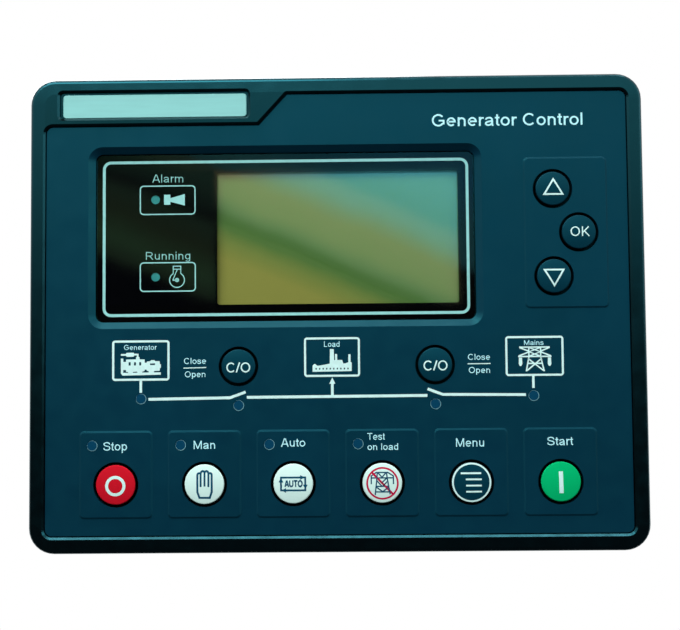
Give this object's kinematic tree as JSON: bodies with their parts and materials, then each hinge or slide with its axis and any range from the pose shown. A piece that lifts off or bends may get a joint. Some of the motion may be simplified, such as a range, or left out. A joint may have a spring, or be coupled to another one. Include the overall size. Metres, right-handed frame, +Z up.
{
  "type": "genset controller",
  "caption": "Panel-mounted generating-set controller with a display, sprung push keys, signal lamps, and a rear housing with plug-in wiring terminals and clip fixing.",
  "frame": {"origin": "centre of the bezel, on the plane where its gasket meets the mounting panel", "axes": "+X to the right seen from the front, +Y backwards through the panel, +Z up"},
  "size_m": [0.242, 0.0534, 0.187],
  "materials": {
    "bezel_plastic": "fine moulded texture, satin",
    "plate_metal": "brushed",
    "panel_plastic": "fine texture, satin",
    "lens_plastic": "smooth and glossy",
    "gasket_rubber": "matt",
    "key_red": "satin",
    "key_white": "satin",
    "key_dark": "satin",
    "key_green": "satin",
    "pipe_plastic": "clear, unlit",
    "led_plastic": "smooth",
    "mat_silicone": "matt",
    "frame_metal": "satin black",
    "lcd_glass": "smooth",
    "backlight_plastic": "frosted",
    "board_laminate": "solder mask",
    "black_plastic": "satin",
    "steel": "zinc plated",
    "terminal_green": "satin",
    "tin_metal": "tinned",
    "housing_plastic": "fine texture, satin"
  },
  "bodies": {
    "controller": {"front_bezel": "bezel_plastic", "name_plate": "plate_metal", "keypad_panel": "panel_plastic", "display_lens": "lens_plastic", "panel_gasket": "gasket_rubber", "light_pipes": "pipe_plastic", "status_leds": "led_plastic", "dome_mat": "mat_silicone", "lcd_frame": "frame_metal", "lcd_glass": "lcd_glass", "lcd_backlight": "backlight_plastic", "lcd_board": "board_laminate", "display_board": "board_laminate", "display_board_screws": "steel", "processor": "black_plastic", "backup_cell": "steel", "board_link_header": "black_plastic", "board_link_socket": "black_plastic", "power_board": "board_laminate", "power_board_screws": "steel", "output_relays": "black_plastic", "sense_transformers": "black_plastic", "filter_capacitors": "black_plastic", "terminal_headers": "terminal_green", "header_pins": "tin_metal", "plug_upper_left": "terminal_green", "plug_upper_middle": "terminal_green", "plug_upper_right": "terminal_green", "plug_lower_left": "terminal_green", "plug_lower_middle": "terminal_green", "plug_lower_right": "terminal_green", "wire_cages": "tin_metal", "clamp_screws": "steel", "rear_housing": "housing_plastic", "housing_screws": "steel", "clip_upper_left": "housing_plastic", "clip_lower_left": "housing_plastic", "clip_upper_right": "housing_plastic", "clip_lower_right": "housing_plastic", "jack_screws": "steel"},
    "stop_button": {"key_stop": "key_red"},
    "manual_button": {"key_manual": "key_white"},
    "auto_button": {"key_auto": "key_white"},
    "test_button": {"key_test": "key_white"},
    "menu_button": {"key_menu": "key_dark"},
    "start_button": {"key_start": "key_green"},
    "generator_breaker_button": {"key_generator_breaker": "key_dark"},
    "mains_breaker_button": {"key_mains_breaker": "key_dark"},
    "up_button": {"key_up": "key_dark"},
    "ok_button": {"key_ok": "key_dark"},
    "down_button": {"key_down": "key_dark"}
  },
  "joints": [
    {"name": "stop_press", "type": "slide", "parent": "controller", "child": "stop_button", "axis": [0, 1, 0], "range_m": [0, 0.0012], "stiffness_N_per_m": 1500, "springref_m": -0.0002, "deforming": ["dome_mat"]},
    {"name": "manual_press", "type": "slide", "parent": "controller", "child": "manual_button", "axis": [0, 1, 0], "range_m": [0, 0.0012], "stiffness_N_per_m": 1500, "springref_m": -0.0002, "deforming": ["dome_mat"]},
    {"name": "auto_press", "type": "slide", "parent": "controller", "child": "auto_button", "axis": [0, 1, 0], "range_m": [0, 0.0012], "stiffness_N_per_m": 1500, "springref_m": -0.0002, "deforming": ["dome_mat"]},
    {"name": "test_press", "type": "slide", "parent": "controller", "child": "test_button", "axis": [0, 1, 0], "range_m": [0, 0.0012], "stiffness_N_per_m": 1500, "springref_m": -0.0002, "deforming": ["dome_mat"]},
    {"name": "menu_press", "type": "slide", "parent": "controller", "child": "menu_button", "axis": [0, 1, 0], "range_m": [0, 0.0012], "stiffness_N_per_m": 1500, "springref_m": -0.0002, "deforming": ["dome_mat"]},
    {"name": "start_press", "type": "slide", "parent": "controller", "child": "start_button", "axis": [0, 1, 0], "range_m": [0, 0.0012], "stiffness_N_per_m": 1500, "springref_m": -0.0002, "deforming": ["dome_mat"]},
    {"name": "generator_breaker_press", "type": "slide", "parent": "controller", "child": "generator_breaker_button", "axis": [0, 1, 0], "range_m": [0, 0.0012], "stiffness_N_per_m": 1500, "springref_m": -0.0002, "deforming": ["dome_mat"]},
    {"name": "mains_breaker_press", "type": "slide", "parent": "controller", "child": "mains_breaker_button", "axis": [0, 1, 0], "range_m": [0, 0.0012], "stiffness_N_per_m": 1500, "springref_m": -0.0002, "deforming": ["dome_mat"]},
    {"name": "up_press", "type": "slide", "parent": "controller", "child": "up_button", "axis": [0, 1, 0], "range_m": [0, 0.0012], "stiffness_N_per_m": 1500, "springref_m": -0.0002, "deforming": ["dome_mat"]},
    {"name": "ok_press", "type": "slide", "parent": "controller", "child": "ok_button", "axis": [0, 1, 0], "range_m": [0, 0.0012], "stiffness_N_per_m": 1500, "springref_m": -0.0002, "deforming": ["dome_mat"]},
    {"name": "down_press", "type": "slide", "parent": "controller", "child": "down_button", "axis": [0, 1, 0], "range_m": [0, 0.0012], "stiffness_N_per_m": 1500, "springref_m": -0.0002, "deforming": ["dome_mat"]}
  ]
}
